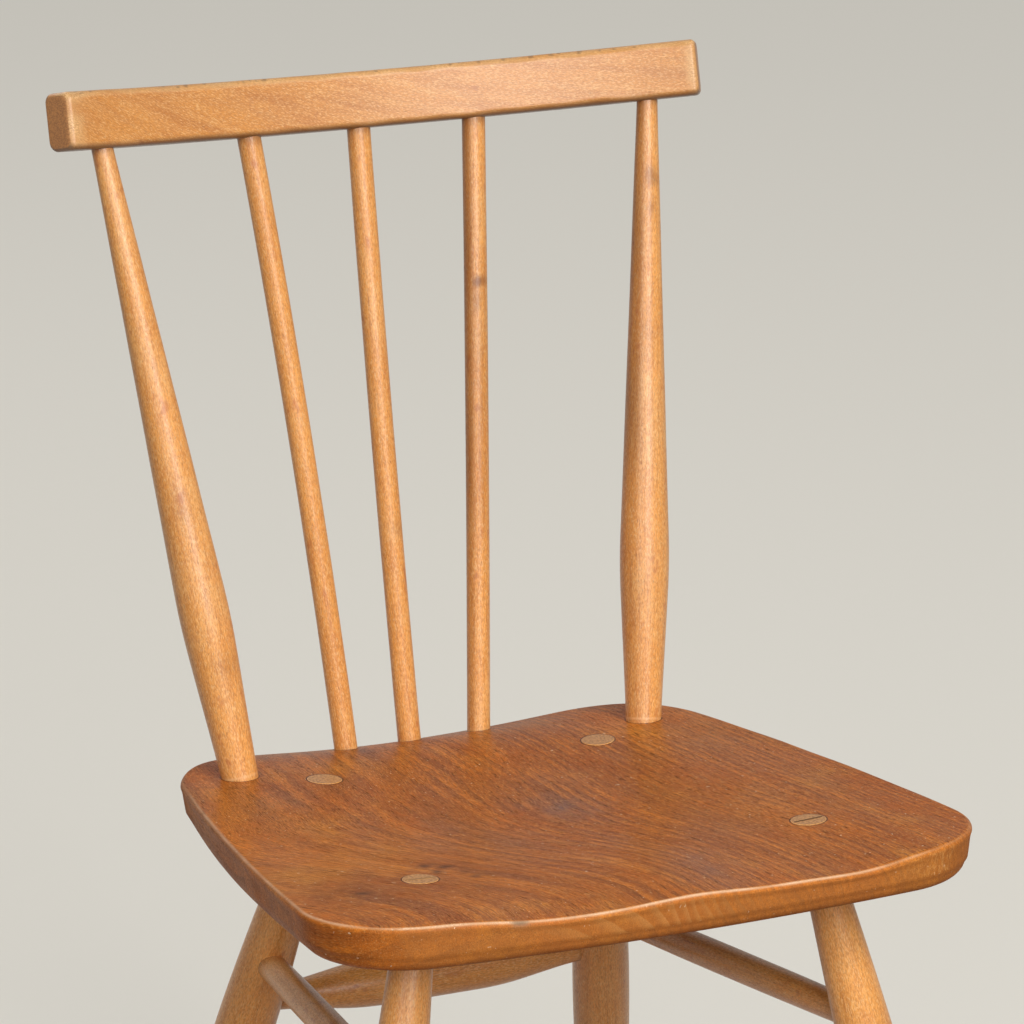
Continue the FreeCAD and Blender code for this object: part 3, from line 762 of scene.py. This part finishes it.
postSizes = {
    "sideInset": 23.5, "endInset": 51.0, "baseRadius": 9.8, "bellyRadius": 14.0,
    "topRadius": 5.7, "bellyAt": 88.0, "blend": 16.0, "socket": 12.0,
    # How strongly shade is painted down each post's left side.
    "paintedShades": {-1: 0.15, 1: 0.75},
    "knots": {-1: ((62, -80, 7, 40, 0.35), (150, -110, 14, 30, 0.3)),
              1: ((302, -97, 5, 38, 0.9), (284, -100, 9, 25, 0.4), (216, -120, 20, 25, 0.3))},
}
crestSizes = {
    "length": 374.0, "height": 31.0, "thickness": 18.0, "bend": 393.0, "rake": 10.2,
    "round": 4.0, "underside": 330.8, "setback": 28.5, "endToPost": 27.0, "socket": 10.0,
    "endFront": 4.2, "endBack": 1.4, "endAlong": 3.0, "endUp": 3.2, "unevenness": 0.35,
    "grainSlant": 0.28, "grainCurve": 5.0e-4,
}
spindleSizes = {
    "radius": 6.5, "baseSpacing": 40.0, "topSpacing": 66.5, "endInset": 12.5,
    # Shades give how strongly shade is painted down each spindle's left side.
    "socket": 8.0, "bows": (2.1, -0.9, 0.6), "paintedShades": (0.08, 0.2, 1.0),
    "knots": ((), ((120, -70, 5, 35, 0.35),),
              # The right spindle's first entry darkens most of its left side rather than marking
              # a knot.
              ((200, -115, 90, 110, 0.34), (251, -110, 4, 85, 1.0), (241, -120, 10, 55, 0.6))),
}


def crestPoint(x, y, z):
    # From the rail's own frame, x along it, y to its back and z up its height.
    rake = np.radians(crestSizes["rake"])
    back = rearEdge + crestSizes["setback"] + y * np.cos(rake) + z * np.sin(rake)
    up = crestSizes["underside"] - y * np.sin(rake) + z * np.cos(rake)
    return np.stack(np.broadcast_arrays(x, back, up), -1)


def crestUnder(x):
    # The middle of the rail's underside, on the arc of its bend.
    bend = crestSizes["bend"]
    return crestPoint(np.float64(x), np.sqrt(bend ** 2 - x ** 2) - bend, 0.0)


def backRod(base, top, profile, name, node, seed, around, socket, bow, shade, knots):
    # A rod between the seat and the crest rail, let into both. A painted shade darkens its left
    # side, more towards its top, and each knot is a dark place, put into the same mark: its
    # station, angle, half length, half turn and strength.
    length = np.linalg.norm(top - base)
    stations = np.linspace(-socket, length + crestSizes["socket"], 320)
    stations, radii = roundedEnds(stations, profile(stations, length), 0.5, 0.5)
    rings, wood = turnedRings(base, top, stations, radii, around, seed, bow)
    stations = stations[:, None]
    turn = fullTurn(around)
    leftSide = smoothStep((-np.cos(turn + np.radians(12.0)) - 0.12) / 0.6)
    # Painted shade: the left side darker, and more so towards the top.
    dark = shade * leftSide * (0.85 + 0.25 * ripple(rings, 60.0, seed))
    dark = dark * (0.4 + 0.6 * smoothStep((stations - 60.0) / 150.0))
    for station, angle, halfLength, halfTurn, strength in knots:
        off = np.mod(turn - np.radians(angle) + np.pi, 2.0 * np.pi) - np.pi
        spot = np.exp(-((stations - station) / halfLength) ** 2
                      - (off / np.radians(halfTurn)) ** 2)
        dark = np.maximum(dark, strength * spot * (0.9 + 0.3 * ripple(rings, 7.0, seed)))
    # Grime that polishing leaves under the crest rail, and a little at the seat.
    grime = 0.12 * np.exp(-np.abs(stations) / 3.0)
    grime = grime + 1.2 * np.exp(-np.abs(stations - length) / 3.0)
    skinPiece(name, rings, wood, beechTurned, node,
              {"dirt": 0.75 * np.clip(grime, 0.0, 1.0), "shade": dark,
               "wear": 0.6 * bell(stations - 0.4, 0.5)})


def seatPoint(x, y):
    # On the seat's hollowed top.
    return np.array([x, y, -hollowDepth(x, y)])


def postEnds(side):
    # A post's axis runs from the seat's top to the underside of the rail.
    base = seatPoint(side * (seatSizes["rearHalf"] - postSizes["sideInset"]),
                     rearLine - postSizes["endInset"])
    return base, crestUnder(side * (crestSizes["length"] / 2.0 - crestSizes["endToPost"]))


def backPost(side, name, node, seed):
    # Widens straight from the seat to a belly, then narrows straight to the top.
    s = postSizes
    base, top = postEnds(side)

    def profile(stations, length):
        return softRuns([-s["socket"], 0.0, s["bellyAt"], length, length + crestSizes["socket"]],
                        [s["baseRadius"], s["baseRadius"], s["bellyRadius"], s["topRadius"],
                         s["topRadius"]], s["blend"], stations)

    backRod(base, top, profile, name, node, seed, 88, s["socket"], 0.0, s["paintedShades"][side],
            s["knots"][side])


def spindleEnds(place):
    # The spindles' feet lie on one arc with the posts' feet.
    x = place * spindleSizes["baseSpacing"]
    postX = seatSizes["rearHalf"] - postSizes["sideInset"]
    postY = rearLine - postSizes["endInset"]
    middleY = rearEdge - spindleSizes["endInset"]
    radius = (postX ** 2 + (middleY - postY) ** 2) / (2.0 * (middleY - postY))
    y = middleY - radius + np.sqrt(radius ** 2 - x ** 2)
    return seatPoint(x, y), crestUnder(place * spindleSizes["topSpacing"])


def slimSpindle(place, name, node, seed):
    # One radius from end to end, on a slightly bowed line.
    s = spindleSizes
    base, top = spindleEnds(place)
    backRod(base, top, lambda stations, length: np.full_like(stations, s["radius"]), name, node,
            seed, 64, s["socket"], s["bows"][place + 1], s["paintedShades"][place + 1],
            s["knots"][place + 1])


stretcherSizes = {
    "sideRearDrop": 113.0, "sideFrontDrop": 108.0, "sideEnd": 7.6, "sideMiddle": 8.4,
    "rearDrop": 139.0, "rearEnd": 6.5, "rearBelly": 13.5, "rearHalf": 42.0, "blend": 14.0,
    "socket": 3.0,
}


def lowRod(start, end, profile, name, node, seed, around):
    # A stretcher between two legs, let into both. Its ends are grimy where they meet them.
    length = np.linalg.norm(end - start)
    socket = stretcherSizes["socket"]
    stations = np.linspace(-socket, length + socket, 260)
    stations, radii = roundedEnds(stations, profile(stations, length), 0.5, 0.5)
    rings, wood = turnedRings(start, end, stations, radii, around, seed)
    fromLeg = np.minimum(stations, length - stations) - 14.0
    grime = 0.7 * np.exp(-np.maximum(fromLeg, 0.0) / 3.0)
    skinPiece(name, rings, wood, beechTurned, node, {"dirt": grime[:, None]})


def sideStretcher(side, name, node, seed):
    # The radius swells from the ends to the middle as a parabola.
    s = stretcherSizes

    def profile(stations, length):
        share = np.clip(stations / length, 0.0, 1.0)
        return s["sideEnd"] + (s["sideMiddle"] - s["sideEnd"]) * 4.0 * share * (1.0 - share)

    lowRod(legPoint(side, "rear", s["sideRearDrop"]), legPoint(side, "front", s["sideFrontDrop"]),
           profile, name, node, seed, 64)


def rearStretcher(seed):
    # Thin ends widen straight to a thick straight middle, with the corners eased.
    s = stretcherSizes
    tenon = legSizes["bellyRadius"]

    def profile(stations, length):
        middle, end, belly = length / 2.0, s["rearEnd"], s["rearBelly"]
        return softRuns([-s["socket"], tenon, middle - s["rearHalf"], middle + s["rearHalf"],
                         length - tenon, length + s["socket"]],
                        [end, end, belly, belly, end, end], s["blend"], stations)

    lowRod(legPoint(-1, "rear", s["rearDrop"]), legPoint(1, "rear", s["rearDrop"]), profile,
           "rearStretcher", "rear_stretcher", seed, 80)


# Crest rail

def railSection():
    # The rail's outline, across its thickness and up its height, with its corners rounded.
    s = crestSizes
    r = s["round"]
    halfT, height = s["thickness"] / 2.0, s["height"]
    corner = np.linspace(0.0, np.pi / 2.0, 9)
    loop = np.concatenate(
        [(cx + r * np.cos(corner + turn * np.pi), cy + r * np.sin(corner + turn * np.pi))
         for cx, cy, turn in ((halfT - r, height - r, 0.0), (-halfT + r, height - r, 0.5),
                              (-halfT + r, r, 1.0), (halfT - r, r, 1.5))], 1)
    across, up = np.append(loop, loop[:, :1], 1)
    run = runAlong(across, up)
    at = np.linspace(0.0, run[-1], 144, endpoint=False)
    at = np.unique(np.round(np.append(at, run[:-1]), 4))
    return np.interp(at, run, across), np.interp(at, run, up)


def crestRail():
    # The rail's outline carried along an arc, and drawn in round its two ends.
    s = crestSizes
    halfT, middle, bend = s["thickness"] / 2.0, s["height"] / 2.0, s["bend"]
    across, up = railSection()
    reach = np.arcsin(s["length"] / 2.0 / bend)
    edge = s["endAlong"] / bend
    turn = np.linspace(0.0, np.pi / 2.0, 9)[1:]
    # Each station has an angle along the bend, how far its end rounding draws it in, and how
    # far its flat end is drawn in to the pole.
    caps = 14
    endAngle = np.append(np.full(caps, -reach), -reach + edge * (1.0 - np.cos(turn)))
    endDrawn = np.append(np.ones(caps), 1.0 - np.sin(turn))
    inner = np.linspace(-reach + edge, reach - edge, 400)[1:-1]
    angle = np.concatenate([endAngle, inner, -endAngle[::-1]])[:, None]
    drawn = np.concatenate([endDrawn, np.zeros_like(inner), endDrawn[::-1]])[:, None]
    shrink = np.ones_like(angle)
    shrink[:caps, 0] = np.linspace(0.0, 1.0, caps)
    shrink[-caps:, 0] = np.linspace(1.0, 0.0, caps)
    # The front arris of each end is rounded more than the back one.
    inset = (s["endFront"] + s["endBack"]) / 2.0
    shift = (s["endFront"] - s["endBack"]) / 2.0
    acrossHere = across * (1.0 - drawn * inset / halfT) * shrink + shift * drawn
    upHere = middle + (up - middle) * (1.0 - drawn * s["endUp"] / middle) * shrink
    radius = bend + acrossHere
    rings = crestPoint(radius * np.sin(angle), radius * np.cos(angle) - bend, upHere)
    # The grain crosses the rail on a slant, most steeply at its left end.
    along = np.broadcast_to(angle * bend, radius.shape)
    slant = s["grainSlant"] * along - s["grainCurve"] * along ** 2
    wood = np.stack([acrossHere, upHere + slant, along], -1)
    # How far each point of the outline is round a corner, and how near an end.
    inX = np.clip((np.abs(across) - (halfT - s["round"])) / s["round"], 0.0, 1.0)
    inZ = np.clip((np.abs(up - middle) - (middle - s["round"])) / s["round"], 0.0, 1.0)
    arris = np.minimum(inX, inZ) * 2.2
    atTop = smoothStep((up - middle) / middle * 2.0)
    fromEnd = (reach - np.abs(angle)) * bend
    endArris = bell(fromEnd - 3.0, np.where(angle < 0, 6.5, 3.0))
    bumpy = s["unevenness"] * ripple(rings, 30.0, 11) * np.clip(arris, 0.0, 1.0)
    spoke = crestPoint(bend * np.sin(angle), bend * np.cos(angle) - bend, middle) - rings
    spoke = spoke / np.maximum(np.linalg.norm(spoke, axis=-1, keepdims=True), 1.0)
    moved = rings + spoke * (bumpy * (shrink > 0.99))[..., None]
    topSpots = 6.0 * ripple(rings, 11.0, 13) * ripple(rings, 4.6, 14) - 1.0
    topSpots = np.clip(topSpots, 0.0, 0.5) * (up > s["height"] - 1.6)
    wornAndHighlighted = np.clip(arris * (0.35 + 0.65 * atTop), 0.0, 1.0) * 0.7
    wornAndHighlighted = wornAndHighlighted + endArris * (drawn < 0.99) * (across < 0)
    # The dark band along the bottom of the rail is painted shade; the spots along its top arris
    # are dark marks in the wood.
    skinPiece("crestRail", moved, wood + 90.0, beechBent, "crest_rail",
              {"wear": wornAndHighlighted * (0.7 + 0.5 * ripple(rings, 16.0, 12)), "cut": drawn > 0.55,
               "dirt": 0.9 * np.clip((3.6 - up) / 2.8, 0.0, 1.0) + topSpots})


def standingPieces():
    # What stands in the seat on one side: a point of each axis, its direction, the radius
    # of the dark line round it and how softly that ends.
    result = []
    for row in ("front", "rear"):
        axis = unit(legPoint(1, row, 1.0) - legTop(1, row))
        result.append((legTop(1, row), axis, legSizes["tenonRadius"] + 0.25, 0.7))
    for (base, top), radius in ((postEnds(1), postSizes["baseRadius"]),
                                (spindleEnds(0), spindleSizes["radius"]),
                                (spindleEnds(1), spindleSizes["radius"])):
        result.append((base, unit(top - base), radius + 0.1, 1.1))
    return result


elmSeat = woodMaterial("elmWaxed", elmLook, standingPieces())
print("materials made")

seatBoard()
crestRail()
rearStretcher(3)
for side, word in ((-1, "left"), (1, "right")):
    backPost(side, word + "Post", word + "_post", 6 + side)
    sideStretcher(side, word + "Stretcher", word + "_stretcher", 10 + side)
    tenonWedge(side, word + "Wedge", word + "_wedge")
    for seed, row in ((14, "front"), (18, "rear")):
        turnedLeg(side, row, row + word.capitalize() + "Leg", row + "_" + word + "_leg",
                  seed + side)
for place, word in ((-1, "left"), (0, "middle"), (1, "right")):
    slimSpindle(place, word + "Spindle", word + "_spindle", 22 + place)
print("pieces made")


# Room, lights and camera

roomLook = {"floorColour": "#DDD9D0", "bounceColour": "#80583A", "worldColour": "#EEF0F2",
            "ambient": 0.09, "background": 0.50, "floorSize": 40.0,
            "floorGlow": "#E4E0D6", "glowShare": 0.62}


def seenDirectly(tree):
    # One for the camera's own rays and for mirror and glass rays.
    path = addNode(tree, "LightPath").outputs
    first = addNode(tree, "Math", {"operation": "MAXIMUM"},
                    {0: path["Is Camera Ray"], 1: path["Is Glossy Ray"]})
    return addNode(tree, "Math", {"operation": "MAXIMUM"},
                   {0: first, 1: path["Is Transmission Ray"]})


def plainRoom():
    # A pale painted floor that shows evenly to the camera and keeps the chair's shadow. What
    # it throws back up on to the chair is the warm light of a wooden floor.
    material = bpy.data.materials.new("paintedFloor")
    tree = clearTree(material)
    seen = seenDirectly(tree)
    colour = addNode(tree, "Mix", {"data_type": "RGBA", 6: toLinear(roomLook["bounceColour"]),
                                   7: toLinear(roomLook["floorColour"])}, {0: seen})
    paint = addNode(tree, "BsdfDiffuse", {"Roughness": 0.9}, {"Color": colour.outputs[2]})
    glow = addNode(tree, "Emission", {"Color": toLinear(roomLook["floorGlow"])})
    amount = addNode(tree, "Math", {"operation": "MULTIPLY", 1: roomLook["glowShare"]}, {0: seen})
    mix = addNode(tree, "MixShader", {}, {0: amount, 1: paint, 2: glow})
    addNode(tree, "OutputMaterial", {}, {"Surface": mix})
    half = roomLook["floorSize"] / 2.0
    mesh = bpy.data.meshes.new("floor")
    mesh.from_pydata([(-half, -half, 0), (half, -half, 0), (half, half, 0), (-half, half, 0)],
                     [], [(0, 1, 2, 3)])
    mesh.materials.append(material)
    floor = addObject("floor", mesh)
    world = bpy.data.worlds.new("softRoom")
    bpy.context.scene.world = world
    tree = clearTree(world)
    strength = addNode(tree, "MapRange", {"To Min": roomLook["ambient"],
                                          "To Max": roomLook["background"]},
                       {"Value": seenDirectly(tree)})
    light = addNode(tree, "Background", {"Color": toLinear(roomLook["worldColour"])},
                    {"Strength": strength})
    addNode(tree, "OutputWorld", {}, {"Surface": light})


# Where each lamp hangs, what it points at, its size in metres and its power in watts.
lamps = {
    "key": ((-0.12, -2.44, 1.6), (0.0, 0.0, 0.55), 1.6, 46.0),
    "high": ((0.5, -1.9, 2.3), (0.0, 0.0, 0.5), 0.5, 25.0),
    "window": ((-1.85, -1.85, 1.6), (0.0, 0.0, 0.55), 1.4, 20.0),
    "side": ((2.0, -1.0, 1.9), (0.0, 0.0, 0.5), 0.8, 5.0),
    "back": ((-0.5, 2.3, 2.6), (0.0, 0.0, 0.5), 1.2, 20.0),
}


def addLamps():
    for name, (place, target, size, power) in lamps.items():
        light = bpy.data.lights.new(name, "AREA")
        light.shape = "DISK"
        light.size = size
        light.energy = power
        turn = (Vector(target) - Vector(place)).to_track_quat("-Z", "Y").to_matrix().to_4x4()
        addObject(name, light).matrix_world = Matrix.Translation(place) @ turn


view = {"place": (-0.9781, -2.21465, 1.2976), "yaw": 23.81, "pitch": 16.75, "roll": 0.19,
        "lens": 170.4, "sensor": 36.0}


def addCamera():
    # Stands to the chair's left and front, looking down on it.
    yaw, pitch, roll = np.radians([view["yaw"], view["pitch"], view["roll"]])
    data = bpy.data.cameras.new("photoView")
    data.lens = view["lens"]
    data.sensor_width = view["sensor"]
    camera = addObject("photoView", data)
    camera.matrix_world = (Matrix.Translation(view["place"]) @ Matrix.Rotation(-yaw, 4, "Z")
                           @ Matrix.Rotation(np.pi / 2.0 - pitch, 4, "X")
                           @ Matrix.Rotation(roll, 4, "Z"))
    bpy.context.scene.camera = camera


plainRoom()
addLamps()
addCamera()
bpy.context.scene.view_settings.view_transform = "Standard"
print("room, lamps and camera set")
